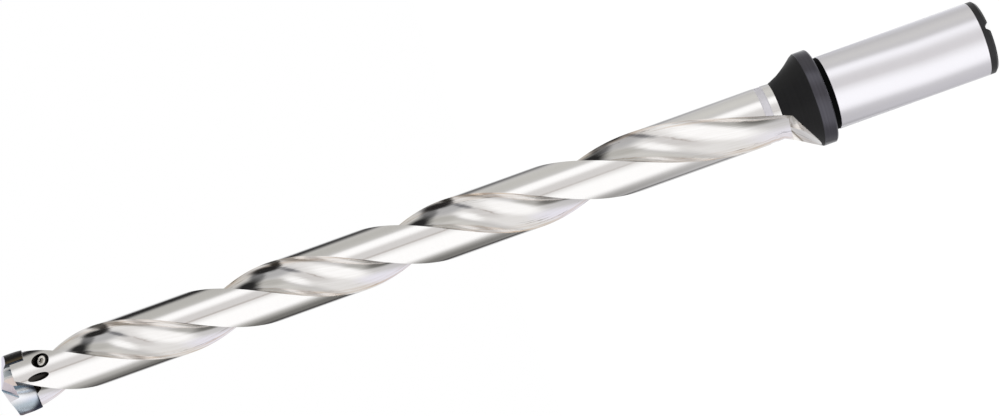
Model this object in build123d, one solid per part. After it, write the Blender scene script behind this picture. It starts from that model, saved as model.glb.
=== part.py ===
from build123d import *
from math import acos, asin, atan2, cos, degrees, radians, sin, sqrt, tan
import os

# Replaceable tip drill: a long steel holder with two helical flutes, a carbide
# cutting head seated between two jaws, and two set screws that draw the head in.
# Lengths in millimetres, angles in degrees.
# The shank's end face stands on Z = 0 and the point of the head is at the top.
# A height called "back" is measured from the point of the head towards the shank.

# Shank, relief groove, flange and cone, one above the other
shank_diameter = 25.0
shank_length = 54.75
end_ring_length = 2.8  # unground ring at the end of the shank
end_ring_relief = 0.06  # how much smaller in radius the ring is than the ground shank
end_chamfer = 0.8
shank_front_chamfer = 0.12
groove_diameter = 24.6
groove_length = 2.35
flange_diameter = 32.0
flange_length = 4.65
flange_rear_edge = 0.45
flange_front_edge = 0.15
cone_length = 10.85

# Slot across the end of the shank
slot_mouth = 3.0
slot_floor = 1.1
slot_depth = 1.3
slot_angle = 103.0  # direction of the slot, from +X

# Fluted body
body_diameter = 19.4
body_length = 270.1  # from the small end of the cone to the point of the head
neck_band = 2.6  # plain band in front of the cone
neck_groove_length = 2.6
neck_groove_depth = 0.16
neck_groove_side = 0.3  # length of the slope at each side of the groove
web_thickness = 8.0
flute_mouth = 92.9  # angle that a flute takes out of the body's round
flute_start = 73.2  # direction of the first flute at the point, from +X
tip_lead = 92.6  # lead of the helix at the point
main_lead = 122.2  # lead along the middle
end_lead = 206.3  # lead at the cone
tip_zone = 39.2  # stretch over which the lead grows from tip_lead to main_lead
end_zone = 89.4  # stretch over which it grows from main_lead to end_lead
flute_overrun = 2.9  # how far the full flute reaches into the cone
runout_rise = 1.4  # outward travel of the flute's exit, for each mm along the axis
runout_drift = 1.2  # its sideways travel, for each mm along the axis

# Cutting head
head_diameter = 20.5
point_angle = 137.5
flank_clearance = 13.7
rake_hollow = (3.62, -3.2)  # deepest place of the head's rake face, in the flute's section
seat_back = 10.65  # the wings' rear faces, back from the point
drive_wall_inner = (5.9, -2.3)  # plan corner at the inner end of a drive wall
drive_wall_lean = 16.2  # how far the drive wall leans out, from -Y
panel_end = (3.05, -5.3)  # plan corner where the jaw's slanting panel ends
wall_fillet = 0.6
stem_diameter = 5.0
stem_length = 12.2
stem_chamfer = 0.4
sink_diameter = 10.4  # countersink at the mouth of the stem's bore
sink_angle = 60.0
gash_start = (-0.5, -0.35)  # plan position of the thinning gash's valley, level with the point
gash_azimuth = 192.7  # direction in which the valley runs, from +X
gash_dive = 51.6  # how steeply the valley goes back
gash_opening = 103.6  # angle between the gash's two walls
gash_roll = 26.4  # how far its opening turns about the valley
gash_root = 0.5

# Jaws of the body, which hold the head
jaw_back = 5.85  # the jaws' front faces, back from the point
corner_relief_radius = 0.9
corner_relief_back = 9.75
corner_relief_bite = 0.55  # how far the reliefs reach into the jaws

# Clamp screws, one through each jaw
screw_back = 15.9  # where a screw's axis leaves the body, back from the point
screw_bearing = 299.8  # direction of that place, from +X
screw_tilt = 28.0  # how far the screws' outer ends lean towards the point
screw_diameter = 4.0
screw_recess = 0.6
screw_face_chamfer = 0.32
screw_point_length = 1.3
screw_point_end = 1.4  # diameter of the flat at the screw's point
screw_bite = 0.45  # how far the point reaches into the stem
socket_points = 6
socket_outer = 2.3  # diameter over the points of the driver recess
socket_inner = 1.5  # diameter through the corners between them
socket_depth = 1.6
counterbore_diameter = 5.2
counterbore_depth = 1.7

# Coolant ways
coolant_bore = 4.0
coolant_inlet_diameter = 8.0
coolant_inlet_depth = 20.0
exit_diameter = 2.45
exit_back = 13.7
exit_bearing = 269.0
exit_tilt = 20.0  # angle between an exit bore and the axis

# Fits
wall_gap = 0.03  # head to jaw, at the drive walls
stem_gap = 0.04  # stem to its bore, in radius
stem_room = 0.8  # between the stem's end and the bottom of its bore
thread_gap = 0.05  # screw to its hole, in radius
notch_gap = 0.03  # screw's point to the notch in the stem

# Cutters
overlap = 1.0  # how far a cutter starts outside the surface that it enters
flute_lead_in = 3.0  # how far in front of the point the flute cutters start
flute_clearance = 5.3  # how far they stand out of the body's round
flute_step = 6.0  # spacing of the places along a flute where its turn is set

# Heights and radii that follow from the sizes above
shank_radius = shank_diameter / 2
flange_radius = flange_diameter / 2
body_radius = body_diameter / 2
head_radius = head_diameter / 2
stem_radius = stem_diameter / 2
flange_back_z = shank_length + groove_length
cone_z = flange_back_z + flange_length
neck_z = cone_z + cone_length
total_length = neck_z + body_length
seat_z = total_length - seat_back
flute_reach = body_radius + flute_clearance
upright = (Align.CENTER, Align.CENTER, Align.MIN)  # round solids stand on their lower end


def at(back):
    """Height above the shank's end of a place measured back from the point."""
    return total_length - back


def around(angle):
    """Unit vector at an angle from +X, square to the axis."""
    return Vector(cos(radians(angle)), sin(radians(angle)), 0)


def slanting(bearing, rise):
    """Unit vector at a bearing from +X that climbs towards the point by an angle."""
    return around(bearing) * cos(radians(rise)) + Vector(0, 0, sin(radians(rise)))


def both(shape):
    """The shape and its copy half a turn on."""
    return shape + Rot(0, 0, 180) * shape


def rod(diameter, low, high):
    """Round bar on the drill's axis between two heights."""
    return extrude(Pos(0, 0, low) * Circle(diameter / 2), amount=high - low)


def twist(back):
    """How far the flutes have turned at a place behind the point."""
    tip_rate, main_rate, end_rate = (360 / lead for lead in (tip_lead, main_lead, end_lead))
    in_tip = min(back, tip_zone)
    turned = tip_rate * in_tip + (main_rate - tip_rate) / tip_zone * in_tip**2 / 2
    turned += main_rate * max(back - tip_zone, 0)
    in_end = max(back - (body_length - end_zone), 0)
    return turned + (end_rate - main_rate) / end_zone * in_end**2 / 2


def flute_angle(back):
    return flute_start - twist(back)


def flute_arc():
    """Radius and centre distance of the arc that forms a flute of the body."""
    edge_u, edge_v = flute_edge()
    floor_u = web_thickness / 2
    arc_radius = (edge_v**2 + (edge_u - floor_u) ** 2) / (2 * (edge_u - floor_u))
    return arc_radius, floor_u + arc_radius


def flute_edge():
    """Where a flute's section leaves the body's round: along its middle, and across."""
    half = radians(flute_mouth / 2)
    return body_radius * cos(half), body_radius * sin(half)


def body_section():
    """Section of a flute in the body: one arc, closed by an arc outside the body."""
    arc_radius, centre_u = flute_arc()
    open_angle = acos((centre_u**2 + arc_radius**2 - flute_reach**2) / (2 * centre_u * arc_radius))
    end_u, end_v = centre_u - arc_radius * cos(open_angle), arc_radius * sin(open_angle)
    floor = ThreePointArc((end_u, -end_v), (web_thickness / 2, 0), (end_u, end_v))
    return Face(Wire([floor, ThreePointArc((end_u, end_v), (flute_reach, 0), (end_u, -end_v))]))


def head_section():
    """Section of a flute in the head: hollowed on the side of the lip, as in the body on the other."""
    edge_u, edge_v = flute_edge()
    arc_radius, centre_u = flute_arc()
    bend = asin(edge_v / arc_radius) / 2
    middle = (centre_u - arc_radius * cos(bend), arc_radius * sin(bend))
    floor_u = web_thickness / 2
    far = flute_reach / body_radius
    rake = ThreePointArc((edge_u, -edge_v), rake_hollow, (floor_u, 0))
    heel = ThreePointArc((floor_u, 0), middle, (edge_u, edge_v))
    out = Line((edge_u, edge_v), (edge_u * far, edge_v * far))
    outside = ThreePointArc((edge_u * far, edge_v * far), (flute_reach, 0), (edge_u * far, -edge_v * far))
    back = Line((edge_u * far, -edge_v * far), (edge_u, -edge_v))
    return Face(Wire([rake, heel, out, outside, back]))


def flute_plane(back):
    """Plane across the drill, with its x-axis along the middle of the first flute."""
    return Plane(origin=(0, 0, at(back)), x_dir=around(flute_angle(back)), z_dir=(0, 0, 1))


def flute_cutter(section, start, end):
    """One flute: a sweep whose turn follows the changing lead, between two places along the drill."""
    guide = []
    steps = round((end - start) / flute_step)
    for step in range(steps + 1):
        back = start + (end - start) * step / steps
        guide.append(around(flute_angle(back)) + Vector(0, 0, at(back)))
    axis = Line((0, 0, at(start)), (0, 0, at(end)))
    return sweep(flute_plane(start) * section, path=axis, binormal=Spline(*guide))


def flute_exit():
    """Straight, rising end of a flute: it climbs out through the cone as it drifts sideways."""
    end = body_length + flute_overrun
    outward = around(flute_angle(end)) * runout_rise
    sideways = around(flute_angle(end) - 90) * runout_drift
    path = outward + sideways - Vector(0, 0, 1)
    travel = (cone_length - flute_overrun) * path.length
    return extrude(flute_plane(end) * body_section(), amount=travel, dir=path)


def shank():
    """Shank, relief groove and flange, turned in one outline."""
    ring_radius = shank_radius - end_ring_relief
    groove_radius = groove_diameter / 2
    outline = Polyline(
        (0, 0),
        (ring_radius - end_chamfer, 0),
        (ring_radius, end_chamfer),
        (ring_radius, end_ring_length),
        (shank_radius, end_ring_length),
        (shank_radius, shank_length - shank_front_chamfer),
        (shank_radius - shank_front_chamfer, shank_length),
        (groove_radius, shank_length),
        (groove_radius, flange_back_z),
        (flange_radius - flange_rear_edge, flange_back_z),
        (flange_radius, flange_back_z + flange_rear_edge),
        (flange_radius, cone_z - flange_front_edge),
        (flange_radius - flange_front_edge, cone_z),
        (0, cone_z),
        close=True,
    )
    return revolve(Plane.XZ * make_face(outline), Axis.Z)


def barrel():
    """The body's round from the flange to the jaws' front faces, with the cone at its foot."""
    cone = Pos(0, 0, cone_z) * Cone(flange_radius - flange_front_edge, body_radius, cone_length, align=upright)
    return cone + Pos(0, 0, cone_z) * Cylinder(body_radius, at(jaw_back) - cone_z, align=upright)


def neck_groove():
    """Shallow ring with sloping sides that the neck's groove takes out of the body."""
    low = neck_z + neck_band
    high = low + neck_groove_length
    outside = body_radius + overlap
    floor = body_radius - neck_groove_depth
    outline = Polyline(
        (outside, low),
        (body_radius, low),
        (floor, low + neck_groove_side),
        (floor, high - neck_groove_side),
        (body_radius, high),
        (outside, high),
        close=True,
    )
    return revolve(Plane.XZ * make_face(outline), Axis.Z)


def end_slot():
    """The tapering slot across the shank's end face."""
    plane = Plane(origin=(0, 0, 0), x_dir=around(slot_angle + 90), z_dir=around(slot_angle))
    section = Polygon((-slot_mouth / 2, 0), (slot_mouth / 2, 0), (slot_floor / 2, slot_depth),
                      (-slot_floor / 2, slot_depth), align=None)
    return extrude(plane * section, amount=2 * shank_radius, both=True)


def jaw_plan(gap):
    """Plan of one jaw, drawn well past the body's round; gap narrows it on the head's side."""
    inner = Vector(*drive_wall_inner)
    end = Vector(*panel_end)
    reach = 2 * head_radius
    lean = radians(drive_wall_lean)
    outer = inner + Vector(sin(lean), -cos(lean)) * reach
    plan = Polygon(outer, inner, end, (-reach, end.Y), (-reach, outer.Y), align=None)
    if gap:
        plan = offset(plan, -gap, kind=Kind.INTERSECTION)
    corner = plan.vertices().sort_by_distance(inner)[0]
    return fillet(corner, wall_fillet)


def jaws_prism(gap, bottom, top):
    """Both jaws between two heights."""
    return both(extrude(Pos(0, 0, bottom) * jaw_plan(gap), amount=top - bottom))


def corner_reliefs():
    """Half-round reliefs at the feet of the drive walls, open at the body's round."""
    inner_x, inner_y = drive_wall_inner
    lean = tan(radians(drive_wall_lean))
    wall_x = inner_x + lean * (sqrt(body_radius**2 - inner_x**2) + inner_y)
    start = (wall_x + corner_relief_radius - corner_relief_bite, inner_y, at(corner_relief_back))
    return both(extrude(Plane(origin=start, z_dir=(0, -1, 0)) * Circle(corner_relief_radius),
                        amount=2 * body_radius))


def pocket():
    """What the head's seat takes out of the body: all between the jaws, down to the seat."""
    front = at(jaw_back) + overlap
    between = rod(2 * (head_radius + overlap), seat_z, front)
    return between - jaws_prism(wall_gap, seat_z - overlap, front + overlap)


def stem_bore():
    """Bore for the head's stem, with the countersink at its mouth."""
    bore_radius = stem_radius + stem_gap
    depth = (sink_diameter / 2 - bore_radius) / tan(radians(sink_angle / 2))
    sink = Pos(0, 0, seat_z - depth) * Cone(bore_radius, sink_diameter / 2, depth, align=upright)
    return sink + rod(2 * bore_radius, seat_z - stem_length - stem_room, seat_z)


def screw_plane(outward):
    """Plane square to a clamp screw's axis, this far outside the body's round."""
    direction = slanting(screw_bearing, screw_tilt)
    mouth = around(screw_bearing) * body_radius + Vector(0, 0, at(screw_back))
    return Plane(origin=mouth + direction * outward, z_dir=direction)


def screw_reach():
    """Distance along a screw's axis from the body's round to the stem's."""
    return (body_radius - stem_radius) / cos(radians(screw_tilt))


def screw_bar(radius, outer, inner):
    """Round bar on a screw's axis, between two distances inward from the body's round."""
    return extrude(screw_plane(-outer) * Circle(radius), amount=outer - inner)


def screw_point(gap):
    """The cone at a screw's inner end, widened all round by the gap."""
    tip = screw_plane(-(screw_reach() + screw_bite + gap))
    slope = (screw_diameter - screw_point_end) / 2 / screw_point_length
    length = screw_point_length + gap
    narrow = screw_point_end / 2 + gap
    return tip * Cone(narrow, narrow + length * slope, length, align=upright)


def screw_hole():
    """Counterbore and threaded hole for one clamp screw, through into the stem's bore."""
    lean = (screw_diameter / 2 + thread_gap) * tan(radians(screw_tilt))
    hole = screw_bar(counterbore_diameter / 2, -counterbore_diameter / 2 - overlap, counterbore_depth)
    return hole + screw_bar(screw_diameter / 2 + thread_gap, 0, screw_reach() + lean)


def coolant_ways():
    """Inlet, main bore and the two slanting exits."""
    meet_z = at(exit_back + body_radius / tan(radians(exit_tilt)))
    ways = rod(coolant_inlet_diameter, -overlap, coolant_inlet_depth)
    ways += rod(coolant_bore, coolant_inlet_depth, meet_z)
    branch = Plane(origin=(0, 0, meet_z), z_dir=slanting(exit_bearing, 90 - exit_tilt)) * Circle(exit_diameter / 2)
    return ways + both(extrude(branch, amount=(body_radius + exit_diameter) / sin(radians(exit_tilt))))


def drill_body():
    body = barrel()
    flute = flute_cutter(body_section(), -flute_lead_in, body_length + flute_overrun)
    for turn in (0, 180):
        body -= Rot(0, 0, turn) * flute
        body -= Rot(0, 0, turn) * flute_exit()
    body -= neck_groove()
    body += shank()
    body -= end_slot()
    body -= pocket()
    body -= corner_reliefs()
    body -= stem_bore()
    body -= both(screw_hole())
    return body - coolant_ways()


def gash():
    """One thinning cut at the point: a V with a rounded root, running down into the flute."""
    along = slanting(gash_azimuth, -gash_dive)
    level = Vector(0, 0, 1).cross(along).normalized()
    opening = level * cos(radians(gash_roll)) + along.cross(level) * sin(radians(gash_roll))
    origin = Vector(*gash_start, total_length)
    half = radians(gash_opening / 2)
    leg = 1.4 * head_radius
    vee = Polygon((0, 0), (leg * cos(half), -leg * sin(half)), (leg * cos(half), leg * sin(half)), align=None)
    root = vee.vertices().sort_by_distance((0, 0, 0))[0]
    face = Plane(origin=origin, x_dir=opening, z_dir=along) * fillet(root, gash_root)
    return extrude(face, amount=2 * head_radius, both=True)


def point_cutter():
    """Everything above the two flanks: a roof whose ridge crosses the axis."""
    lip_rise = tan(radians(90 - point_angle / 2))
    fall = tan(radians(flank_clearance))
    slope = degrees(atan2(sqrt(lip_rise**2 + fall**2), 1))
    down = degrees(atan2(-fall, lip_rise))
    side = 3 * head_radius
    slab = Pos(side / 2, 0, side / 2) * Box(side, 2 * side, side)
    return both(Pos(0, 0, total_length) * Rot(0, 0, down) * Rot(0, slope, 0) * slab)


def drill_head():
    flute = flute_cutter(head_section(), -flute_lead_in, seat_back + flute_lead_in)
    head = rod(head_diameter, seat_z, total_length)
    head -= jaws_prism(0, seat_z - overlap, total_length + overlap)
    head -= point_cutter()
    for turn in (0, 180):
        head -= Rot(0, 0, turn) * flute
    head -= both(gash())
    stem = rod(stem_diameter, seat_z - stem_length, seat_z + overlap)
    stem = chamfer(stem.edges().sort_by(Axis.Z)[0], stem_chamfer)
    full = screw_reach() + screw_bite - screw_point_length
    notch = screw_point(notch_gap) + screw_bar(screw_diameter / 2 + notch_gap, full - overlap, full)
    return head + (stem - both(notch))


def socket():
    """Star-shaped driver recess, at the screw's outer face."""
    corners = []
    for number in range(socket_points):
        turn = 360 / socket_points * number
        corners.append(around(turn) * socket_outer / 2)
        corners.append(around(turn + 180 / socket_points) * socket_inner / 2)
    star = make_face(Polyline(*corners, close=True))
    return extrude(screw_plane(-screw_recess) * star, amount=-socket_depth)


def clamp_screw():
    """Set screw with a cone point and a chamfered outer face."""
    full = screw_reach() + screw_bite - screw_point_length
    screw = screw_bar(screw_diameter / 2, screw_recess, full)
    plane = screw_plane(0)
    rim = screw.edges().filter_by(GeomType.CIRCLE).sort_by(Axis(plane.origin, plane.z_dir))[-1]
    screw = chamfer(rim, screw_face_chamfer)
    return screw + screw_point(0) - socket()


def write_parts():
    screw = clamp_screw()
    parts = {
        "drill_body": drill_body(),
        "drill_head": drill_head(),
        "clamp_screw_a": screw,
        "clamp_screw_b": Rot(0, 0, 180) * screw,
    }
    os.makedirs("parts", exist_ok=True)
    for name, shape in parts.items():
        export_step(shape, f"parts/{name}.step")


write_parts()
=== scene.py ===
import bpy
import bmesh
from math import acos, atan2, ceil, cos, degrees, pi, radians, sin, tan
from mathutils import Matrix, Vector


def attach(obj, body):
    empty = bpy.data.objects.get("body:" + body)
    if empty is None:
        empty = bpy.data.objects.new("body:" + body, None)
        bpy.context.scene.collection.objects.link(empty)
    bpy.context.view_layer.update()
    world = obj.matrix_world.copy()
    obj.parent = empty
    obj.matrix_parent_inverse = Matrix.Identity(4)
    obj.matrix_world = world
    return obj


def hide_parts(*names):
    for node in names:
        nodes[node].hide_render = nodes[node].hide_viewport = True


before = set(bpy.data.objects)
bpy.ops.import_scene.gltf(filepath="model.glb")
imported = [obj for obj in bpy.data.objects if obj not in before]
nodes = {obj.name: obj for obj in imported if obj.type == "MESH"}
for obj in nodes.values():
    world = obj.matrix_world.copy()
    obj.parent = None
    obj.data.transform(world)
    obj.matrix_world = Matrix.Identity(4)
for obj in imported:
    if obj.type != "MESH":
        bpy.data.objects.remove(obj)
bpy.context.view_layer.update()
print("frame loaded")

mm = 0.001
over = 1.0  # cutters stand this many millimetres out of what they cut
weld, fineWeld = 0.002, 0.0005  # points closer than this, in millimetres, become one
creaseAngle = radians(13)  # edges sharper than this stay crisp
sides = (Matrix.Identity(4), Matrix.Rotation(pi, 4, "Z"))  # the drill is alike after half a turn

# Sizes that several pieces share, in millimetres and degrees; back is the way back from the point
drill = {
    "length": 342.7, "bodyRadius": 9.7, "bodyEnd": 270.1, "web": 8.0,
    "fluteMouth": 92.9, "fluteStart": 73.2,  # opening of a flute, and direction of its middle at the point
    "tipLead": 92.6, "mainLead": 122.2, "endLead": 206.3,
    "tipZone": 39.2, "endZone": 89.4,  # lengths over which the lead changes
    "fluteEnd": 273.0, "runoutRise": 1.4, "runoutDrift": 1.2,  # way out and sideways for each millimetre
    "fluteSteps": 36, "landSteps": 50,
    "mapLength": 100.0,  # millimetres along the drill for one unit of the UV map
}


def linear(hexColour):
    parts = [int(hexColour[i:i + 2], 16) / 255 for i in (1, 3, 5)]
    return [c / 12.92 if c <= 0.04045 else ((c + 0.055) / 1.055) ** 2.4 for c in parts] + [1]


# One node: settings first, then a value or a link for each input in order (None leaves it alone)
def add(tree, kind, *inputs, **settings):
    node = tree.nodes.new(kind)
    for key, value in settings.items():
        setattr(node, key, value)
    for place, value in enumerate(inputs):
        if isinstance(value, bpy.types.NodeSocket):
            tree.links.new(value, node.inputs[place])
        elif value is not None:
            node.inputs[place].default_value = value
    return node


toColours = [None] * 5  # a Mix node's inputs between its factor and its two colours


def startMaterial(name):
    material = bpy.data.materials.new(name)
    material.use_nodes = True
    tree = material.node_tree
    tree.nodes.clear()
    shader = tree.nodes.new("ShaderNodeBsdfPrincipled")
    tree.links.new(shader.outputs[0], tree.nodes.new("ShaderNodeOutputMaterial").inputs[0])
    return material, tree, shader


# Tints over a colour, among them painted shade and painted reflections. Each is (direction across the drill,
# share of the way back from the point, start, full, colour) and grows from start to full, in millimetres,
# alike on both sides of the drill
def tintedColour(tree, place, colour, tints):
    height = add(tree, "ShaderNodeSeparateXYZ", place).outputs[2]
    back = add(tree, "ShaderNodeMath", height, -1 / mm, drill["length"], operation="MULTIPLY_ADD").outputs[0]
    for across, share, start, full, tint in tints:
        side = add(tree, "ShaderNodeVectorMath", place, (across[0] / mm, across[1] / mm, 0),
                   operation="DOT_PRODUCT")
        width = add(tree, "ShaderNodeMath", side.outputs["Value"], operation="ABSOLUTE")
        measure = add(tree, "ShaderNodeMath", back, share, width.outputs[0], operation="MULTIPLY_ADD")
        mask = add(tree, "ShaderNodeMapRange", measure.outputs[0], start, full, 0, 1,
                   interpolation_type="SMOOTHSTEP")
        colour = add(tree, "ShaderNodeMix", mask.outputs[0], *toColours, colour, linear(tint),
                     data_type="RGBA").outputs[2]
    return colour


lineRun = 50.0  # millimetres round the drill over which a machined line keeps its tone


# Machined surface: the wheel or the turning tool leaves lines round the drill. The real ones are a few
# hundredths of a millimetre apart and are drawn coarser, "lines" millimetres apart, so that they show
def machinedFinish(name, light, dark, metallic, roughness, lines, ior=None, tints=()):
    material, tree, shader = startMaterial(name)
    place = tree.nodes.new("ShaderNodeTexCoord").outputs["Object"]
    scale = (1 / (lineRun * mm), 1 / (lineRun * mm), 1 / (lines * mm))
    lined = add(tree, "ShaderNodeMapping", place, None, None, scale)
    grain = add(tree, "ShaderNodeTexNoise", lined.outputs[0], None, 1.0, 3.0).outputs[0]
    tones = add(tree, "ShaderNodeMix", grain, *toColours, linear(dark), linear(light), data_type="RGBA")
    colour = tintedColour(tree, place, tones.outputs[2], tints)
    tree.links.new(colour, shader.inputs["Base Color"])
    sheen = add(tree, "ShaderNodeMapRange", grain, 0.3, 0.7, roughness * 0.85, roughness * 1.15)
    tree.links.new(sheen.outputs[0], shader.inputs["Roughness"])
    shader.inputs["Metallic"].default_value = metallic
    if ior:
        shader.inputs["IOR"].default_value = ior
    return material


flutePolish = {
    "width": 15.4,  # round the flute's arc, one unit of its UV map
    "light": "#f7f6f6", "dark": "#e6e3e0",
    "streak": (1.711, 45.45),  # width and length
    # streaks beside the flute's two edges, the beige ones a painted highlight and the dark ones thin dark
    # lines: width, length, share of the flute's width off its middle where they begin and are full, range of
    # the noise that shows, tone
    "edgeHighlightsAndStreaks": [
        (0.7, 22.73, 0.32, 0.46, 0.45, 0.62, "#d6c6b6"),
        (0.453, 14.71, 0.27, 0.36, 0.60, 0.66, "#453a2c"),
    ],
    # painted shade: the flute is darkened close behind the head
    "shade": [((0, 0), 1, 10.4, 9.6, "#2a2725")],  # the narrow wall between jaw and head lies in shade
    "roughness": (0.1, 0.05), "ripple": 0.05, "rippleStrength": 0.6,
}


# Polished tool steel: mirrors the room in streaks that run along the flute, with a brownish tone, a painted
# beige highlight and thin dark streaks beside its two edges, and painted shade on the flute close behind the
# head
def polishedFlute(name):
    material, tree, shader = startMaterial(name)
    sheet = tree.nodes.new("ShaderNodeUVMap").outputs[0]
    width, length = flutePolish["streak"]
    scale = (flutePolish["width"] / width, drill["mapLength"] / length, 1)
    streak = add(tree, "ShaderNodeMapping", sheet, None, None, scale)
    grain = add(tree, "ShaderNodeTexNoise", streak.outputs[0], None, 2.0, 4.0, 0.6).outputs[0]
    dark, light = linear(flutePolish["dark"]), linear(flutePolish["light"])
    tones = add(tree, "ShaderNodeMix", grain, *toColours, dark, light, data_type="RGBA")
    colour = tones.outputs[2]
    across = add(tree, "ShaderNodeSeparateXYZ", sheet).outputs[0]
    offset = add(tree, "ShaderNodeMath", across, 0.5, operation="SUBTRACT").outputs[0]
    edge = add(tree, "ShaderNodeMath", offset, operation="ABSOLUTE").outputs[0]
    # painted highlight in beige streaks, and thin dark streaks, beside the flute's two edges
    for width, length, near, full, low, high, tone in flutePolish["edgeHighlightsAndStreaks"]:
        scale = (flutePolish["width"] / width, drill["mapLength"] / length, 1)
        fine = add(tree, "ShaderNodeMapping", sheet, None, None, scale)
        edgeNoise = add(tree, "ShaderNodeTexNoise", fine.outputs[0], None, 1.0, 5.0, 0.65)
        there = add(tree, "ShaderNodeMapRange", edgeNoise.outputs[0], low, high, 0, 1)
        beside = add(tree, "ShaderNodeMapRange", edge, near, full, 0, 1)
        share = add(tree, "ShaderNodeMath", there.outputs[0], beside.outputs[0], operation="MULTIPLY")
        colour = add(tree, "ShaderNodeMix", share.outputs[0], *toColours, colour, linear(tone),
                     data_type="RGBA").outputs[2]
    place = tree.nodes.new("ShaderNodeTexCoord").outputs["Object"]
    # painted shade on the flute close behind the head
    colour = tintedColour(tree, place, colour, flutePolish["shade"])
    tree.links.new(colour, shader.inputs["Base Color"])
    roughness = add(tree, "ShaderNodeMapRange", grain, 0.3, 0.7, *flutePolish["roughness"])
    tree.links.new(roughness.outputs[0], shader.inputs["Roughness"])
    strength, height = flutePolish["rippleStrength"], flutePolish["ripple"] * mm
    ripple = add(tree, "ShaderNodeBump", strength, height, None, grain)
    tree.links.new(ripple.outputs[0], shader.inputs["Normal"])
    shader.inputs["Metallic"].default_value = 1
    return material


# The holder's finishes by slot. A machined one has its light and dark tone, metallic, roughness, distance of
# the lines and IOR
land, wall, hole, sink, neckGroove, cone, flange, groove, shank, endRing, flute = range(11)
materials = [
    # bright, with a long gleam and hair lines round the drill
    machinedFinish("groundToolSteel", "#f7f6f5", "#efedec", 1, 0.12, 0.25),
    # cool grey and duller than the ground faces
    machinedFinish("milledToolSteel", "#b4b8c0", "#8f949e", 1, 0.3, 0.4),
    # dark, partly dark oxide and partly painted shade, since little light falls into a hole; only a faint
    # gleam
    machinedFinish("drilledToolSteel", "#4a4744", "#2b2927", 1, 0.4, 0.3),
    # dull brownish grey, from the skin that hardening leaves
    machinedFinish("hardenedToolSteel", "#8a837c", "#6b655f", 0, 0.5, 0.3),
    # pale and matt, because a turned groove scatters the light
    machinedFinish("turnedToolSteel", "#fbf9ff", "#f2f0f8", 0.3, 0.4, 0.5),
    # black with a soft sheen, of a low IOR because it mirrors the tent only faintly
    machinedFinish("blackOxideSteel", "#28282a", "#1b1b1c", 0, 0.4, 0.5, 1.28),
    # dark grey with clear reflections, its black rubbed to a shine
    machinedFinish("rubbedBlackSteel", "#5f5e65", "#46454b", 1, 0.2, 0.5),
    # deepest black, nearly without a gleam
    machinedFinish("sootBlackSteel", "#0b0c0c", "#050606", 0, 0.6, 0.5, 1.12),
    # pale grey with a satin gleam along the shank
    machinedFinish("satinGroundSteel", "#f4f3f8", "#eceaef", 1, 0.2, 0.22),
    # charcoal with a dull metal gleam
    machinedFinish("blackenedTurnedSteel", "#333335", "#262628", 0.4, 0.35, 0.4),
    polishedFlute("polishedToolSteel"),
]


def meshObject(name, made, slots=materials):
    mesh = bpy.data.meshes.new(name)
    made.to_mesh(mesh)
    made.free()
    for material in slots:
        mesh.materials.append(material)
    piece = bpy.data.objects.new(name, mesh)
    bpy.context.scene.collection.objects.link(piece)
    return piece


# The piece's modifiers become part of its mesh
def apply(piece):
    made = bpy.data.meshes.new_from_object(piece.evaluated_get(bpy.context.evaluated_depsgraph_get()))
    piece.modifiers.clear()
    piece.data = made


def direction(angle):
    return Vector((cos(radians(angle)), sin(radians(angle)), 0))


# Axis of a slanting hole: Z leaves the start along a bearing round the drill and rises towards the point
def along(bearing, rise, start):
    way = direction(bearing) * cos(radians(rise)) + Vector((0, 0, sin(radians(rise))))
    return Matrix.Translation(start) @ way.to_track_quat("Z", "Y").to_matrix().to_4x4()


# Direction of the first flute's middle at a place along the drill, from the three leads
def fluteAngle(back):
    tipRate, mainRate, endRate = (360 / drill[lead] for lead in ("tipLead", "mainLead", "endLead"))
    inTip = min(back, drill["tipZone"])
    inEnd = max(back - drill["bodyEnd"] + drill["endZone"], 0)
    turned = tipRate * inTip + (mainRate - tipRate) / drill["tipZone"] * inTip ** 2 / 2
    turned += mainRate * max(back - drill["tipZone"], 0)
    turned += (endRate - mainRate) / drill["endZone"] * inEnd ** 2 / 2
    return drill["fluteStart"] - turned


# Radius and centre distance of the arc that a flute's section is
def fluteArc():
    half = radians(drill["fluteMouth"] / 2)
    edgeU, edgeV = drill["bodyRadius"] * cos(half), drill["bodyRadius"] * sin(half)
    floor = drill["web"] / 2
    arcRadius = (edgeV ** 2 + (edgeU - floor) ** 2) / (2 * (edgeU - floor))
    return arcRadius, floor + arcRadius


# One ring of the body: flute, land, flute, land, each point with its place across (0-1 flute, 1-2 land)
def ringPoints(back, radius):
    arcRadius, centre = fluteArc()
    run = max(back - drill["fluteEnd"], 0)
    angle = fluteAngle(min(back, drill["fluteEnd"]))
    axis = direction(angle) * (centre + drill["runoutRise"] * run)
    axis += direction(angle - 90) * drill["runoutDrift"] * run
    away, turn = axis.length, degrees(atan2(axis.y, axis.x))
    isOpen = away < radius + arcRadius
    mouth = degrees(acos((away ** 2 + radius ** 2 - arcRadius ** 2) / (2 * away * radius))) if isOpen else 0
    sweep = degrees(atan2(radius * sin(radians(mouth)), away - radius * cos(radians(mouth))))
    points = []
    for half in (0, 180):
        middle = direction(turn + half)
        for k in range(drill["fluteSteps"]):
            across = k / drill["fluteSteps"]
            point = middle * radius
            if isOpen:
                point = middle * away + direction(turn + half + 180 - sweep * (2 * across - 1)) * arcRadius
            points.append((point, across))
        for k in range(drill["landSteps"]):
            across = k / drill["landSteps"]
            points.append((direction(turn + half + mouth + (180 - 2 * mouth) * across) * radius, 1 + across))
    return points


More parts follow.
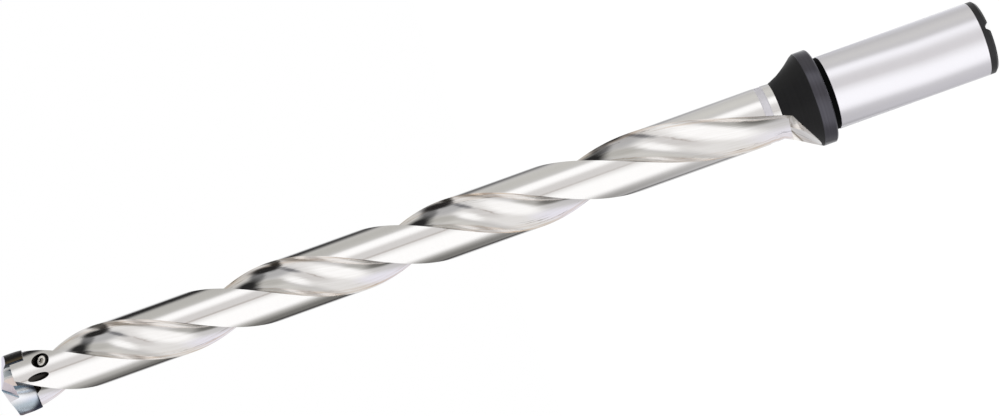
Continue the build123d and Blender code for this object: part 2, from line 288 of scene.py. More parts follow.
# Skin through a list of rings (back, radius, finish of the band behind it), with or without end caps
def lathedBlock(name, rings, capFront=False, capBack=False):
    made = bmesh.new()
    uv = made.loops.layers.uv.new("UVMap")
    rows = []
    for back, radius, _ in rings:
        points = ringPoints(back, radius)
        rows.append([(made.verts.new(point + Vector((0, 0, drill["length"] - back))), across)
                     for point, across in points])
    count = len(rows[0])
    for row, (near, far) in enumerate(zip(rows, rows[1:])):
        start, end, finish = rings[row][0], rings[row + 1][0], rings[row][2]
        for k in range(count):
            n = (k + 1) % count
            face = made.faces.new([near[k][0], far[k][0], far[n][0], near[n][0]])
            inFlute = finish in (land, neckGroove, cone) and near[k][1] < 1
            face.material_index = flute if inFlute else finish
            face.smooth = True
            left, right = near[k][1], near[n][1]
            if right < left:
                right = 1 if left < 1 else 2
            for loop, u, v in zip(face.loops, (left, left, right, right), (start, end, end, start)):
                loop[uv].uv = (u, v / drill["mapLength"])
    if capFront:
        made.faces.new([vert for vert, _ in rows[0]]).material_index = wall
    if capBack:
        made.faces.new([vert for vert, _ in reversed(rows[-1])]).material_index = endRing
    bmesh.ops.remove_doubles(made, verts=made.verts, dist=fineWeld)
    bmesh.ops.recalc_face_normals(made, faces=made.faces)
    return meshObject(name, made)


# Straight block on an outline, or one that spreads towards its top
def prism(name, outline, low, high, finish, place=sides[0], spread=1):
    made = bmesh.new()
    bottom = [made.verts.new(place @ Vector((x, y, low))) for x, y in outline]
    top = [made.verts.new(place @ Vector((x * spread, y * spread, high))) for x, y in outline]
    made.faces.new(list(reversed(bottom)))
    made.faces.new(top)
    for k in range(len(outline)):
        n = (k + 1) % len(outline)
        made.faces.new([bottom[k], bottom[n], top[n], top[k]])
    bmesh.ops.recalc_face_normals(made, faces=made.faces)
    for face in made.faces:
        face.material_index = finish
        face.smooth = True
    return meshObject(name, made)


def circle(radius, count=64):
    return [(radius * cos(2 * pi * k / count), radius * sin(2 * pi * k / count)) for k in range(count)]


def cut(target, tool):
    modifier = target.modifiers.new("cut", "BOOLEAN")
    modifier.object, modifier.operation, modifier.solver = tool, "DIFFERENCE", "EXACT"
    modifier.material_mode = "INDEX"
    apply(target)
    bpy.data.objects.remove(tool)


# Front block: jaws, the head's pocket, screw holes and coolant exits
front = {
    "jawBack": 5.85, "seatBack": 10.65, "end": 44.0, "step": 0.5, "pocketRadius": 12.0, "jawReach": 30.0,
    "wallInner": (5.9, -2.3), "wallLean": 16.2, "panelEnd": (3.05, -5.3), "wallGap": 0.03,
    "wallFillet": 0.6, "filletSteps": 10,
    "reliefRadius": 0.9, "reliefBack": 9.75, "reliefBite": 0.55, "reliefReach": 20.0,
    "stemBore": 2.54, "stemDepth": 13.0, "sinkRadius": 5.2, "sinkAngle": 60.0, "sinkOver": 0.5,
    "screwBack": 15.9, "screwBearing": 299.8, "screwTilt": 28.0, "screwHole": 2.05, "screwDepth": 8.5,
    "counterbore": 2.6, "counterboreDepth": 1.7, "counterboreOver": 4.0,
    "exitRadius": 1.225, "exitBack": 13.7, "exitBearing": 269.0, "exitTilt": 20.0, "exitSpan": (3.0, 36.0),
}


# Outline of one jaw, seen from the point: its wall beside the head, a fillet, and its panel
def jawOutline():
    inner, end = Vector(front["wallInner"]), Vector(front["panelEnd"])
    reach, lean = front["jawReach"], radians(front["wallLean"])
    outer = inner + Vector((sin(lean), -cos(lean))) * reach
    corners = [outer, inner, end, Vector((-reach, end.y)), Vector((-reach, outer.y))]
    shifted = []
    for k, corner in enumerate(corners):
        before = (corner - corners[k - 1]).normalized()
        after = (corners[(k + 1) % len(corners)] - corner).normalized()
        inward = Vector((-before.y, before.x)) + Vector((-after.y, after.x))
        shifted.append(corner + inward / (1 + before.dot(after)) * front["wallGap"])
    before = (shifted[0] - shifted[1]).normalized()
    after = (shifted[2] - shifted[1]).normalized()
    half = before.angle(after) / 2
    middle = shifted[1] + (before + after).normalized() * front["wallFillet"] / sin(half)
    first = shifted[1] + before * front["wallFillet"] / tan(half) - middle
    last = shifted[1] + after * front["wallFillet"] / tan(half) - middle
    turn = first.angle_signed(last)
    fillet = []
    for k in range(front["filletSteps"] + 1):
        spun = first.copy()
        spun.rotate(Matrix.Rotation(-turn * k / front["filletSteps"], 2))
        fillet.append(middle + spun)
    return [shifted[0], *fillet, *shifted[2:]]


# Where the screw's slanting axis meets the body's round surface
def screwMouth():
    mouth = direction(front["screwBearing"]) * drill["bodyRadius"]
    mouth.z = drill["length"] - front["screwBack"]
    return mouth


def frontBlock():
    steps = ceil((front["end"] - front["jawBack"]) / front["step"])
    rings = [(front["jawBack"] + (front["end"] - front["jawBack"]) * k / steps, drill["bodyRadius"], land)
             for k in range(steps + 1)]
    block = lathedBlock("frontBlock", rings, capFront=True, capBack=True)
    top = drill["length"] - front["jawBack"] + over
    seat = drill["length"] - front["seatBack"]
    pocket = prism("pocket", circle(front["pocketRadius"], 96), seat, top, wall)
    for spin in sides:
        cut(pocket, prism("jaw", jawOutline(), seat - over, top + over, wall, spin))
    cut(block, pocket)
    cut(block, prism("stemBore", circle(front["stemBore"]), seat - front["stemDepth"], seat + over, hole))
    depth = (front["sinkRadius"] - front["stemBore"]) / tan(radians(front["sinkAngle"] / 2))
    grown = 1 + front["sinkOver"] / depth  # the countersink's cutter stands a little out of the seat
    cut(block, prism("sink", circle(front["stemBore"]), seat - depth, seat + front["sinkOver"], sink,
                     spread=1 + (front["sinkRadius"] / front["stemBore"] - 1) * grown))
    innerX, innerY = front["wallInner"]
    lean = tan(radians(front["wallLean"]))
    wallX = innerX + lean * ((drill["bodyRadius"] ** 2 - innerX ** 2) ** 0.5 + innerY)
    reliefX = wallX + front["reliefRadius"] - front["reliefBite"]
    relief = Vector((reliefX, innerY, drill["length"] - front["reliefBack"]))
    meet = drill["length"] - front["exitBack"] - drill["bodyRadius"] / tan(radians(front["exitTilt"]))
    for spin in sides:
        corner = spin @ along(270, 0, relief)
        cut(block, prism("relief", circle(front["reliefRadius"]), 0, front["reliefReach"], hole, corner))
        screw = spin @ along(front["screwBearing"], front["screwTilt"], screwMouth())
        cut(block, prism("counterbore", circle(front["counterbore"]), -front["counterboreDepth"],
                         front["counterboreOver"], hole, screw))
        cut(block, prism("screwHole", circle(front["screwHole"]), -front["screwDepth"], over, hole, screw))
        bore = spin @ along(front["exitBearing"], 90 - front["exitTilt"], Vector((0, 0, meet)))
        cut(block, prism("exit", circle(front["exitRadius"], 48), *front["exitSpan"], hole, bore))
    return block


print("front block")
frontPiece = frontBlock()

# Fluted length: Geometry Nodes set a grid out along the twisting flutes
fluted = {"start": front["end"], "end": 264.9, "rings": 222}


def flutedTree():
    tree = bpy.data.node_groups.new("flutedLength", "GeometryNodeTree")
    sizes = {
        "Length": drill["length"], "Body Radius": drill["bodyRadius"], "Body End": drill["bodyEnd"],
        "Start": fluted["start"], "End": fluted["end"], "Web": drill["web"],
        "Flute Mouth": drill["fluteMouth"], "Flute Start": drill["fluteStart"],
        "Tip Lead": drill["tipLead"], "Main Lead": drill["mainLead"], "End Lead": drill["endLead"],
        "Tip Zone": drill["tipZone"], "End Zone": drill["endZone"], "Map Length": drill["mapLength"],
    }
    counts = {"Rings": fluted["rings"], "Flute Steps": drill["fluteSteps"], "Land Steps": drill["landSteps"]}
    for name in sizes:
        tree.interface.new_socket(name, in_out="INPUT", socket_type="NodeSocketFloat")
    for name in counts:
        tree.interface.new_socket(name, in_out="INPUT", socket_type="NodeSocketInt")
    tree.interface.new_socket("Geometry", in_out="OUTPUT", socket_type="NodeSocketGeometry")
    value = {socket.name: socket for socket in tree.nodes.new("NodeGroupInput").outputs}
    value["index"] = tree.nodes.new("GeometryNodeInputIndex").outputs[0]
    sums = [  # name of the result, operation, what goes in
        # a column of the grid runs back along the drill, a row goes round flute, land, flute and land
        ("halfCount", "ADD", "Flute Steps", "Land Steps"),
        ("wholeCount", "MULTIPLY", "halfCount", 2),
        ("columns", "ADD", "wholeCount", 1),
        ("safeIndex", "ADD", "index", 0.5),
        ("columnShare", "DIVIDE", "safeIndex", "Rings"),
        ("column", "FLOOR", "columnShare"),
        ("columnStart", "MULTIPLY", "column", "Rings"),
        ("row", "SUBTRACT", "index", "columnStart"),
        ("gaps", "SUBTRACT", "Rings", 1),
        ("rowShare", "DIVIDE", "row", "gaps"),
        ("span", "SUBTRACT", "End", "Start"),
        ("back", "MULTIPLY_ADD", "rowShare", "span", "Start"),
        # turn of the flutes at this place, from the three leads
        ("tipRate", "DIVIDE", 360, "Tip Lead"),
        ("mainRate", "DIVIDE", 360, "Main Lead"),
        ("endRate", "DIVIDE", 360, "End Lead"),
        ("inTip", "MINIMUM", "back", "Tip Zone"),
        ("pastTip", "SUBTRACT", "back", "Tip Zone"),
        ("inMain", "MAXIMUM", "pastTip", 0),
        ("pastBody", "SUBTRACT", "back", "Body End"),
        ("pastMain", "ADD", "pastBody", "End Zone"),
        ("inEnd", "MAXIMUM", "pastMain", 0),
        ("tipChange", "SUBTRACT", "mainRate", "tipRate"),
        ("tipDouble", "MULTIPLY", "Tip Zone", 2),
        ("tipGain", "DIVIDE", "tipChange", "tipDouble"),
        ("endChange", "SUBTRACT", "endRate", "mainRate"),
        ("endDouble", "MULTIPLY", "End Zone", 2),
        ("endGain", "DIVIDE", "endChange", "endDouble"),
        ("tipTurn", "MULTIPLY", "tipRate", "inTip"),
        ("tipExtra", "MULTIPLY", "tipGain", "inTip"),
        ("tipTurned", "MULTIPLY_ADD", "tipExtra", "inTip", "tipTurn"),
        ("mainTurned", "MULTIPLY_ADD", "mainRate", "inMain", "tipTurned"),
        ("endExtra", "MULTIPLY", "endGain", "inEnd"),
        ("turned", "MULTIPLY_ADD", "endExtra", "inEnd", "mainTurned"),
        # the flute's arc
        ("halfMouth", "MULTIPLY", "Flute Mouth", 0.5),
        ("half", "RADIANS", "halfMouth"),
        ("cosine", "COSINE", "half"),
        ("sine", "SINE", "half"),
        ("edgeU", "MULTIPLY", "Body Radius", "cosine"),
        ("edgeV", "MULTIPLY", "Body Radius", "sine"),
        ("floor", "DIVIDE", "Web", 2),
        ("depth", "SUBTRACT", "edgeU", "floor"),
        ("depthDouble", "MULTIPLY", "depth", 2),
        ("depthSquare", "MULTIPLY", "depth", "depth"),
        ("squares", "MULTIPLY_ADD", "edgeV", "edgeV", "depthSquare"),
        ("arc", "DIVIDE", "squares", "depthDouble"),
        ("centre", "ADD", "floor", "arc"),
        ("toEdge", "SUBTRACT", "centre", "edgeU"),
        ("sweep", "ARCTAN2", "edgeV", "toEdge"),
        # place of this column on the flute or on the land
        ("safeColumn", "ADD", "column", 0.5),
        ("sideShare", "DIVIDE", "safeColumn", "halfCount"),
        ("side", "FLOOR", "sideShare"),
        ("sideStart", "MULTIPLY", "side", "halfCount"),
        ("step", "SUBTRACT", "column", "sideStart"),
        ("lastFlute", "SUBTRACT", "Flute Steps", 0.5),
        ("isLand", "GREATER_THAN", "step", "lastFlute"),
        ("fluteShare", "DIVIDE", "step", "Flute Steps"),
        ("landStep", "SUBTRACT", "step", "Flute Steps"),
        ("landShare", "DIVIDE", "landStep", "Land Steps"),
        ("swing", "MULTIPLY_ADD", "fluteShare", 2, -1),
        ("swung", "MULTIPLY", "sweep", "swing"),
        ("bend", "SUBTRACT", pi, "swung"),
        ("bendCosine", "COSINE", "bend"),
        ("bendSine", "SINE", "bend"),
        ("fluteX", "MULTIPLY_ADD", "arc", "bendCosine", "centre"),
        ("fluteY", "MULTIPLY", "arc", "bendSine"),
        ("mouth", "MULTIPLY", "half", 2),
        ("landSpan", "SUBTRACT", pi, "mouth"),
        ("onLand", "MULTIPLY_ADD", "landShare", "landSpan", "half"),
        ("landCosine", "COSINE", "onLand"),
        ("landSine", "SINE", "onLand"),
        ("landX", "MULTIPLY", "Body Radius", "landCosine"),
        ("landY", "MULTIPLY", "Body Radius", "landSine"),
        ("height", "SUBTRACT", "Length", "back"),
        ("degreesLeft", "SUBTRACT", "Flute Start", "turned"),
        ("firstAngle", "RADIANS", "degreesLeft"),
        ("sideAngle", "MULTIPLY", "side", pi),
        ("angle", "ADD", "firstAngle", "sideAngle"),
        # its place on the UV map
        ("landU", "ADD", "landShare", 1),
        ("mapV", "DIVIDE", "back", "Map Length"),
    ]
    for name, operation, *given in sums:
        inputs = [value.get(entry, entry) for entry in given]
        value[name] = add(tree, "ShaderNodeMath", *inputs, operation=operation).outputs[0]
    grid = add(tree, "GeometryNodeMeshGrid", 1, 1, value["columns"], value["Rings"])
    x = add(tree, "ShaderNodeMix", value["isLand"], None, value["fluteX"], value["landX"]).outputs[0]
    y = add(tree, "ShaderNodeMix", value["isLand"], None, value["fluteY"], value["landY"]).outputs[0]
    place = add(tree, "ShaderNodeCombineXYZ", x, y, value["height"]).outputs[0]
    turned = add(tree, "ShaderNodeVectorRotate", place, None, None, value["angle"], rotation_type="Z_AXIS")
    shaped = add(tree, "GeometryNodeSetPosition", grid.outputs[0], True, turned.outputs[0])
    mapU = add(tree, "ShaderNodeMix", value["isLand"], None, value["fluteShare"], value["landU"]).outputs[0]
    sheet = add(tree, "ShaderNodeCombineXYZ", mapU, value["mapV"], 0).outputs[0]
    # the place on the map and the step are the points' own, so they are read there before faces use them
    mapThere = add(tree, "GeometryNodeFieldOnDomain", sheet, data_type="FLOAT_VECTOR", domain="POINT")
    stepThere = add(tree, "GeometryNodeFieldOnDomain", value["step"], data_type="FLOAT", domain="POINT")
    mapped = add(tree, "GeometryNodeStoreNamedAttribute", shaped.outputs[0], True, "UVMap",
                 mapThere.outputs[0], data_type="FLOAT2", domain="CORNER")
    smooth = add(tree, "GeometryNodeSetShadeSmooth", mapped.outputs[0], True, True)
    real = add(tree, "GeometryNodeRealizeInstances", smooth.outputs[0])
    inFlute = add(tree, "FunctionNodeCompare", stepThere.outputs[0], value["Flute Steps"], data_type="FLOAT",
                  operation="LESS_THAN")
    ground = add(tree, "GeometryNodeSetMaterial", real.outputs[0], True, materials[land])
    polished = add(tree, "GeometryNodeSetMaterial", ground.outputs[0], inFlute.outputs[0], materials[flute])
    add(tree, "NodeGroupOutput", polished.outputs[0])
    return tree, {**sizes, **counts}


def flutedLength():
    tree, sizes = flutedTree()
    piece = meshObject("flutedLength", bmesh.new())
    modifier = piece.modifiers.new("fluted", "NODES")
    modifier.node_group = tree
    for item in tree.interface.items_tree:
        if item.in_out == "INPUT":
            modifier[item.identifier] = sizes[item.name]
    apply(piece)
    return piece


print("fluted length")
flutedPiece = flutedLength()

# Rear block: neck groove, cone with the flutes' run-out, flange, relief groove and shank
rear = {
    "neckGroove": 2.6, "neckDepth": 0.16, "neckSide": 0.3, "neckBand": 2.6, "neckSteps": 4, "bandSteps": 4,
    "coneEnd": 280.95, "coneSteps": 56,
    "flangeEnd": 285.6, "flangeRadius": 16.0, "frontEdge": 0.15, "rearEdge": 0.45,
    "grooveEnd": 287.95, "grooveRadius": 12.3, "shankRadius": 12.5, "shankChamfer": 0.12,
    "cut": 318.0,  # where the tail block takes over
    "ringStart": 339.9, "ringRadius": 12.44, "endChamfer": 0.8,
    "slotMouth": 3.0, "slotFloor": 1.1, "slotDepth": 1.3, "slotAngle": 103.0, "slotReach": 20.0,
    "inletRadius": 4.0, "inletDepth": 20.0,
}


def rearRings():
    grooveEnd = drill["bodyEnd"] - rear["neckBand"]
    grooveStart = grooveEnd - rear["neckGroove"]
    floorRadius = drill["bodyRadius"] - rear["neckDepth"]
    rings = [(grooveStart, drill["bodyRadius"], neckGroove)]
    for k in range(rear["neckSteps"] + 1):
        share = k / rear["neckSteps"]
        back = grooveStart + rear["neckSide"] + (rear["neckGroove"] - 2 * rear["neckSide"]) * share
        rings.append((back, floorRadius, neckGroove))
    for k in range(rear["bandSteps"]):
        rings.append((grooveEnd + rear["neckBand"] * k / rear["bandSteps"], drill["bodyRadius"], land))
    coneRadius = rear["flangeRadius"] - rear["frontEdge"]
    for k in range(rear["coneSteps"]):
        share = k / rear["coneSteps"]
        rings.append((drill["bodyEnd"] + (rear["coneEnd"] - drill["bodyEnd"]) * share,
                      drill["bodyRadius"] + (coneRadius - drill["bodyRadius"]) * share, cone))
    return rings + [
        (rear["coneEnd"], coneRadius, flange),
        (rear["coneEnd"] + rear["frontEdge"], rear["flangeRadius"], flange),
        (rear["flangeEnd"] - rear["rearEdge"], rear["flangeRadius"], flange),
        (rear["flangeEnd"], rear["flangeRadius"] - rear["rearEdge"], flange),
        (rear["flangeEnd"], rear["grooveRadius"], groove),
        (rear["grooveEnd"], rear["grooveRadius"], groove),
        (rear["grooveEnd"], rear["shankRadius"] - rear["shankChamfer"], shank),
        (rear["grooveEnd"] + rear["shankChamfer"], rear["shankRadius"], shank),
        (rear["cut"], rear["shankRadius"], shank),
    ]


def tailBlock():
    end = drill["length"]
    rings = [
        (rear["cut"], rear["shankRadius"], shank),
        (rear["ringStart"], rear["shankRadius"], endRing),
        (rear["ringStart"], rear["ringRadius"], endRing),
        (end - rear["endChamfer"], rear["ringRadius"], endRing),
        (end, rear["ringRadius"] - rear["endChamfer"], endRing),
    ]
    block = lathedBlock("tailBlock", rings, capFront=True, capBack=True)
    top, low, depth = rear["slotMouth"] / 2, rear["slotFloor"] / 2, rear["slotDepth"]
    section = [(-top, -over), (top, -over), (top, 0), (low, depth), (-low, depth), (-top, 0)]
    # the slot's section is drawn across X and up Z, then turned to run along its direction
    upright = Matrix.Rotation(radians(rear["slotAngle"] - 90), 4, "Z") @ Matrix.Rotation(pi / 2, 4, "X")
    cut(block, prism("slot", section, -rear["slotReach"], rear["slotReach"], endRing, upright))
    cut(block, prism("inlet", circle(rear["inletRadius"]), -over, rear["inletDepth"], hole))
    return block


print("rear block and tail")
rearPiece = lathedBlock("rearBlock", rearRings())
tailPiece = tailBlock()


# The four blocks become one skin; the caps that were only there for cutting go
def joinedBody():
    made = bmesh.new()
    caps = (drill["length"] - front["end"], drill["length"] - rear["cut"])
    for piece in (frontPiece, flutedPiece, rearPiece, tailPiece):
        first = len(made.faces)
        made.from_mesh(piece.data)
        made.faces.ensure_lookup_table()
        slots = [materials.index(used) if used else land for used in piece.data.materials]
        for face in made.faces[first:]:
            face.material_index = slots[face.material_index]
        bpy.data.objects.remove(piece)
    inner = [face for face in made.faces if abs(face.normal.z) > 0.99
             and min(abs(face.calc_center_median().z - cap) for cap in caps) < 0.01]
    bmesh.ops.delete(made, geom=inner, context="FACES")
    bmesh.ops.remove_doubles(made, verts=made.verts, dist=weld)
    bmesh.ops.recalc_face_normals(made, faces=made.faces)
    bmesh.ops.scale(made, vec=(mm, mm, mm), verts=made.verts)
    for face in made.faces:
        face.smooth = True
    body = meshObject("body_skin", made)
    body.data.set_sharp_from_angle(angle=creaseAngle)
    return body


body = joinedBody()
print("body", len(body.data.polygons), "faces")
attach(body, "root")
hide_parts("drill_body")

# the screw's dark tone, and the depth down to which it covers the socket's walls, are painted shade
screws = {
    "faceDepth": 0.6, "ring": 1.6, "socket": 1.25, "shadeDepth": 1.35, "edge": 0.1,
    "bright": "#fffcf6", "shadeTone": "#15140f", "metallic": 0.6, "roughness": 0.3,
}


# Turned screw steel: bright on the ring round the socket and deep in the socket,
# dark with painted shade on the chamfer, on the thread and round the socket's upper edge
def screwSteel(name, spin):
    material, tree, shader = startMaterial(name)
    axis = spin @ along(front["screwBearing"], front["screwTilt"], screwMouth())
    place = tree.nodes.new("ShaderNodeTexCoord").outputs["Object"]
    own = add(tree, "ShaderNodeMapping", place, axis.translation * mm, axis.to_euler(), (mm, mm, mm),
              vector_type="TEXTURE").outputs[0]
    flat = add(tree, "ShaderNodeVectorMath", own, (1, 1, 0), operation="MULTIPLY").outputs[0]
    radius = add(tree, "ShaderNodeVectorMath", flat, operation="LENGTH").outputs["Value"]
    height = add(tree, "ShaderNodeSeparateXYZ", own).outputs[2]
    edge = screws["edge"]
    limits = [  # what is measured, where a zone begins and where it is full
        (radius, screws["ring"] + edge, screws["ring"]),
        (height, -screws["faceDepth"] - 2 * edge, -screws["faceDepth"] - edge),
        (radius, screws["socket"] + edge, screws["socket"]),
        (height, -screws["shadeDepth"], -screws["shadeDepth"] - edge),
    ]
    onRing, atFace, inSocket, isDeep = (
        add(tree, "ShaderNodeMapRange", measure, start, full, 0, 1).outputs[0]
        for measure, start, full in limits)
    ringFace = add(tree, "ShaderNodeMath", onRing, atFace, operation="MULTIPLY").outputs[0]
    socketFloor = add(tree, "ShaderNodeMath", inSocket, isDeep, operation="MULTIPLY").outputs[0]
    bright = add(tree, "ShaderNodeMath", ringFace, socketFloor, operation="MAXIMUM").outputs[0]
    # the dark tone is painted shade below the screw's face and in the socket's upper part
    tones = add(tree, "ShaderNodeMix", bright, *toColours, linear(screws["shadeTone"]), linear(screws["bright"]),
                data_type="RGBA")
    tree.links.new(tones.outputs[2], shader.inputs["Base Color"])
    shader.inputs["Metallic"].default_value = screws["metallic"]
    shader.inputs["Roughness"].default_value = screws["roughness"]
    return material


for name, spin in zip(("clamp_screw_a", "clamp_screw_b"), sides):
    nodes[name].data.materials.clear()
    nodes[name].data.materials.append(screwSteel("turnedScrewSteel" + name[-1].upper(), spin))
print("screws")

# Cutting head: a copy of the CAD head in which each ground face has its own finish
head = {
    "radius": 10.25, "rimDepth": 0.2, "rimCosine": 0.97, "seatBack": 10.65,
    "corner": (3.05, -5.3), "cornerLand": 0.45,  # narrow ground land along the panel's corner
    "rakeReach": 2.85,  # the walls beside the jaws begin this far from the middle plane
    # direction of the valley between the gash and the lip, the most that its faces lean out of it, and its
    # reach in X, in Y and back from the point
    "gashLine": (0.606, 0.137, 0.784), "gashLean": 0.03, "gashReach": (4.45, 1.6, 5.0),
    # direction in which the faces of a finish look, and their least cosine to it
    "looks": {
        "groundFlankCarbide": ((0.353, -0.222, 0.909), 0.995),
        "groundGashCarbide": ((-0.596, -0.574, 0.561), 0.995),
        "groundLipCarbide": ((0.372, -0.920, -0.127), 0.995),
        "groundDriveCarbide": ((-0.960, -0.279, 0.0), 0.995),
        "groundPanelCarbide": ((0.725, -0.688, 0.0), 0.995),
        "groundHeelCarbide": ((0.0, -1.0, 0.0), 0.9995),
        "groundCornerCarbide": ((0.383, -0.924, 0.0), 0.97),
    },
}
carbides = [
    # painted reflections and shade: bright and satin in the hollow of the rake, painted cooler and darker
    # towards the axis, the rim and the seat
    machinedFinish("groundRakeCarbide", "#ffffff", "#f0f3f9", 1, 0.28, 0.3, tints=[
        ((1, 0), 0, 2.4, 1.2, "#7f93a2"), ((1, 0), 0, 4.8, 7.4, "#c2cfda"), ((1, 0), 0, 9.1, 9.7, "#77737a"),
        ((1, 0), 1, 15.6, 18.6, "#3e4250"), ((1, 0), -1, -5.0, -7.2, "#343c4a"),
    ]),
    # nearly black at the outer ends, with a bronze tone nearer the middle
    machinedFinish("coatedRimCarbide", "#2c2a27", "#171716", 0.6, 0.35, 0.3, tints=[
        ((1, 0), 0, 8.6, 7.2, "#6a5d45"),
    ]),
    # painted highlight: thin white lines where two walls meet
    machinedFinish("groundFilletCarbide", "#ffffff", "#f6fafc", 0, 0.3, 0.3),
    # pale and bluish, a soft mirror in the valley
    machinedFinish("groundGashRootCarbide", "#dcecf6", "#5d7f98", 1, 0.25, 0.3),
    # light grey with a trace of violet, satin
    machinedFinish("groundFlankCarbide", "#e6e2ee", "#d4cfe0", 1, 0.3, 0.3),
    # bright, with a blue shade beside the valley
    machinedFinish("groundGashCarbide", "#fff6fa", "#ebe1e8", 1, 0.3, 0.3, tints=[
        ((0.526, -0.807), 0.266, 1.3, 0.7, "#5f7f98"),
    ]),
    # light grey, satin
    machinedFinish("groundLipCarbide", "#ebe9ed", "#d9d7db", 1, 0.3, 0.3),
    # slate grey wall that the jaw drives
    machinedFinish("groundDriveCarbide", "#4a525e", "#2b303a", 1, 0.35, 0.3),
    # pale and matt, bluish towards its outer end
    machinedFinish("groundPanelCarbide", "#eff6f9", "#dde7eb", 0.1, 0.4, 0.3, tints=[
        ((1, 0), 0.5, 7.1, 7.6, "#566a7c"),
    ]),
    # warm and bright, satin
    machinedFinish("groundHeelCarbide", "#fdf0ea", "#eedfd8", 1, 0.3, 0.3),
    # painted highlight: a thin white line along the panel's corner
    machinedFinish("groundCornerCarbide", "#ffffff", "#fdfaf4", 0, 0.3, 0.3),
]


# Name of the finish that a face of the head has, by its place and by the way in which it looks
def finishOf(face):
    middle = face.calc_center_median() / mm
    back = drill["length"] - middle.z
    outward = Vector((middle.x, middle.y, 0))
    looksOut = face.normal.dot(outward.normalized()) > head["rimCosine"]
    onRim = looksOut and outward.length > head["radius"] - head["rimDepth"]
    if onRim or back > head["seatBack"] - 0.02:
        return "coatedRimCarbide"
    besideJaw = abs(middle.y) > head["rakeReach"]
    alongRoot = Vector(head["gashLine"])
    rootX, rootY, rootBack = head["gashReach"]
    name = "groundRakeCarbide"
    if abs(face.normal.z) < 0.01 and besideJaw:
        name = "groundFilletCarbide"
    elif abs(middle.x) < rootX and abs(middle.y) < rootY and back < rootBack:
        if min(abs(face.normal.dot(spin @ alongRoot)) for spin in sides) < head["gashLean"]:
            name = "groundGashRootCarbide"
    for finish, (look, least) in head["looks"].items():
        look = Vector(look)
        isWall = look.z == 0
        if (besideJaw or not isWall) and max(face.normal.dot(spin @ look) for spin in sides) > least:
            name = finish
    return name


def headSkin():
    made = bmesh.new()
    made.from_mesh(nodes["drill_head"].data)
    bmesh.ops.remove_doubles(made, verts=made.verts, dist=weld * mm)
    corner = Vector(head["corner"]) * mm
    edges = []
    for edge in made.edges:
        middle = (edge.verts[0].co + edge.verts[1].co) / 2
        flat = Vector((middle.x, middle.y))
        if min((flat - corner).length, (flat + corner).length) < 0.05 * mm and edge.calc_face_angle(0) > 0.3:
            edges.append(edge)
    bmesh.ops.bevel(made, geom=edges, offset=head["cornerLand"] * mm, segments=1, affect="EDGES")
    bmesh.ops.recalc_face_normals(made, faces=made.faces)
    names = [carbide.name for carbide in carbides]
    for face in made.faces:
        face.material_index = names.index(finishOf(face))
        face.smooth = True
    piece = meshObject("head_skin", made, carbides)
    piece.data.set_sharp_from_angle(angle=creaseAngle)
    return piece


headPiece = headSkin()
print("head", len(headPiece.data.polygons), "faces")
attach(headPiece, "root")
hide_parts("drill_head")

# Floor, light and camera
studio = {
    "wrap": [  # light of the tent round the drill, by angle from the camera towards +X
        (-180, "#e2e2e3"), (-160, "#cfcfd0"), (-130, "#c3c2c4"), (-100, "#cac9ca"), (-72, "#d0cfcf"),
        (-50, "#e3e2e1"), (34, "#e3e2e1"), (62, "#c6c5c4"), (90, "#cfceca"), (120, "#c0bfbd"),
        (145, "#d0d0d2"), (160, "#f0f1f2"), (180, "#e2e2e3"),
    ],
    # softboxes and dark cards: angle round the drill, angle up, half length, half width, tilt, edge, colour
    "cards": [
        (-104, 5, 36, 11, 0, 0.5, "#b0afac"),
        (-80, 6, 17, 9, 0, 0.5, "#b2b1ae"),
        (88, 5, 26, 10, 0, 0.5, "#b6b5b1"),
        (105, -30, 20, 8, 0, 0.6, "#b4b0ab"),
        (40, 27, 42, 10, -8, 0.6, "#b3b3b4"),
        (-55, 44, 44, 7, 18, 0.6, "#958f88"),
        (-6, 50, 26, 6, -22, 0.4, "#32312f"),
        (0, 56, 20, 7, 0, 0.6, "#555350"),
        (68, 29, 28, 7, -28, 0.4, "#757576"),
        (9, 27, 8, 12, 0, 0.6, "#78787b"),
        (-124, 1, 28, 6, -6, 0.6, "#706f6c"),
        (-141, 0, 10, 9, 0, 0.6, "#4c4b4a"),
        (34, 41, 30, 7, -4, 0.35, "#282727"),
        (116, 9, 38, 8, -21, 0.5, "#282828"),
        (12, 0, 17, 17, 0, 0.6, "#d2d0cf"),
        (1, 3, 2, 11, 0, 0.6, "#aba39e"),
        (-45, 2, 34, 25, 0, 0.4, "#ffffff"),
        (-75, -38, 45, 15, 0, 0.6, "#e9e8f2"),
        (46, -3, 17, 12, -40, 0.6, "#ffffff"),
    ],
    "strength": 1.12,
    "floorSide": 3.0, "paper": "#ededed", "paperRoughness": 0.9,
    "glowShare": 0.85, "glow": 1.12,  # the glow and the paper's own light together are just white
    "cameraPlace": (0.0016, -1.0381, 0.2321), "cameraAim": (0.0230, 0, 0.2304),
    "tipAngle": 199.76,  # direction in which the drill's point lies in the picture
    "lens": 113.87, "sensor": 36, "clip": (0.05, 20),
    "shift": 0.2,  # the photograph is cut out of a wider one, with the drill left of its middle
}


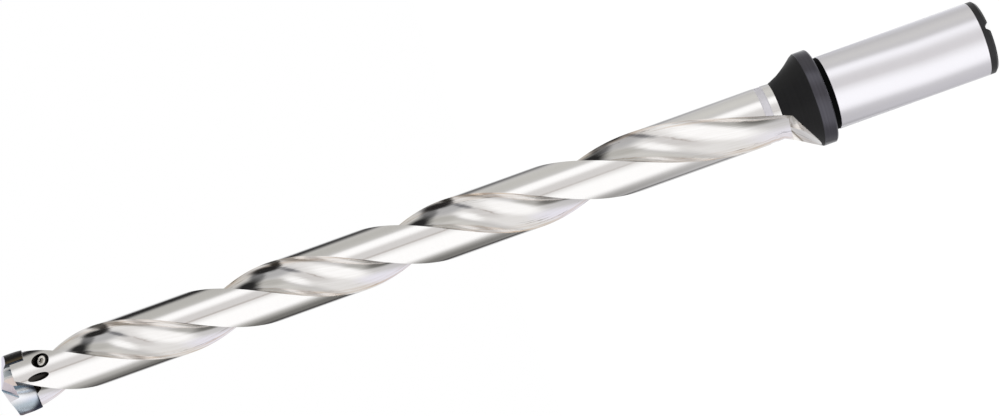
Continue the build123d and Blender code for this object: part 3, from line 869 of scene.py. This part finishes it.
# A light tent: every direction has the colour of the tent's wall or of a card hung in it
def makeWorld():
    world = bpy.data.worlds.new("studio")
    bpy.context.scene.world = world
    world.use_nodes = True
    tree = world.node_tree
    tree.nodes.clear()
    way = add(tree, "ShaderNodeSeparateXYZ", tree.nodes.new("ShaderNodeTexCoord").outputs["Generated"])
    toCamera = add(tree, "ShaderNodeMath", way.outputs[1], -1, operation="MULTIPLY").outputs[0]
    turn = add(tree, "ShaderNodeMath", way.outputs[0], toCamera, operation="ARCTAN2").outputs[0]
    rise = add(tree, "ShaderNodeMath", way.outputs[2], operation="ARCSINE").outputs[0]
    angles = [add(tree, "ShaderNodeMath", value, operation="DEGREES").outputs[0] for value in (turn, rise)]
    spot = add(tree, "ShaderNodeCombineXYZ", *angles).outputs[0]
    share = add(tree, "ShaderNodeMapRange", angles[0], -180, 180, 0, 1).outputs[0]
    ramp = add(tree, "ShaderNodeValToRGB", share)
    elements = ramp.color_ramp.elements
    while len(elements) < len(studio["wrap"]):
        elements.new(0.5)
    for element, (angle, colour) in zip(elements, studio["wrap"]):
        element.position = (angle + 180) / 360
        element.color = linear(colour)
    colour = ramp.outputs[0]
    for around, up, long, wide, tilt, edge, shade in studio["cards"]:
        place = add(tree, "ShaderNodeMapping", spot, (around, up, 0), (0, 0, radians(tilt)), (long, wide, 1),
                    vector_type="TEXTURE")
        away = add(tree, "ShaderNodeVectorMath", place.outputs[0], operation="LENGTH").outputs["Value"]
        mask = add(tree, "ShaderNodeMapRange", away, 1 + edge, 1 - edge, 0, 1,
                   interpolation_type="SMOOTHSTEP")
        colour = add(tree, "ShaderNodeMix", mask.outputs[0], *toColours, colour, linear(shade),
                     data_type="RGBA").outputs[2]
    light = add(tree, "ShaderNodeBackground", colour, studio["strength"])
    white = add(tree, "ShaderNodeBackground", (1, 1, 1, 1), 1)
    seen = tree.nodes.new("ShaderNodeLightPath").outputs["Is Camera Ray"]
    mixed = add(tree, "ShaderNodeMixShader", seen, light.outputs[0], white.outputs[0])
    add(tree, "ShaderNodeOutputWorld", mixed.outputs[0])


# White paper: even and matt, and it keeps the drill's faint shadow
def makeFloor():
    mesh = bpy.data.meshes.new("floor")
    side = studio["floorSide"]
    corners = [(-side, -side, 0), (side, -side, 0), (side, side, 0), (-side, side, 0)]
    mesh.from_pydata(corners, [], [(0, 1, 2, 3)])
    floor = bpy.data.objects.new("floor", mesh)
    bpy.context.scene.collection.objects.link(floor)
    material, tree, shader = startMaterial("whitePaper")
    mesh.materials.append(material)
    shader.inputs["Base Color"].default_value = linear(studio["paper"])
    shader.inputs["Roughness"].default_value = studio["paperRoughness"]
    glow = add(tree, "ShaderNodeEmission", (1, 1, 1, 1), studio["glow"])
    ray = tree.nodes.new("ShaderNodeLightPath")
    share = add(tree, "ShaderNodeMath", ray.outputs["Is Camera Ray"], studio["glowShare"],
                operation="MULTIPLY")
    seen = add(tree, "ShaderNodeMixShader", share.outputs[0], shader.outputs[0], glow.outputs[0])
    clear = tree.nodes.new("ShaderNodeBsdfTransparent")  # steel shows the tent below the floor too
    mixed = add(tree, "ShaderNodeMixShader", ray.outputs["Is Glossy Ray"], seen.outputs[0], clear.outputs[0])
    tree.links.new(mixed.outputs[0], tree.get_output_node("ALL").inputs[0])


def makeCamera():
    data = bpy.data.cameras.new("camera")
    data.lens, data.sensor_width, data.shift_x = studio["lens"], studio["sensor"], studio["shift"]
    data.clip_start, data.clip_end = studio["clip"]
    camera = bpy.data.objects.new("camera", data)
    bpy.context.scene.collection.objects.link(camera)
    place, aim = Vector(studio["cameraPlace"]), Vector(studio["cameraAim"])
    back = (place - aim).normalized()
    level = Vector((0, 0, 1)).cross(back).normalized()  # picture's right with the drill upright
    up = back.cross(level)
    # the picture is turned about the view until the drill's point lies at tipAngle
    roll = radians(studio["tipAngle"] - 90)
    right = level * cos(roll) - up * sin(roll)
    top = level * sin(roll) + up * cos(roll)
    camera.matrix_world = Matrix.Translation(place) @ Matrix((right, top, back)).transposed().to_4x4()
    bpy.context.scene.camera = camera


makeWorld()
makeFloor()
makeCamera()
bpy.context.scene.view_settings.view_transform = "Standard"
print("studio")
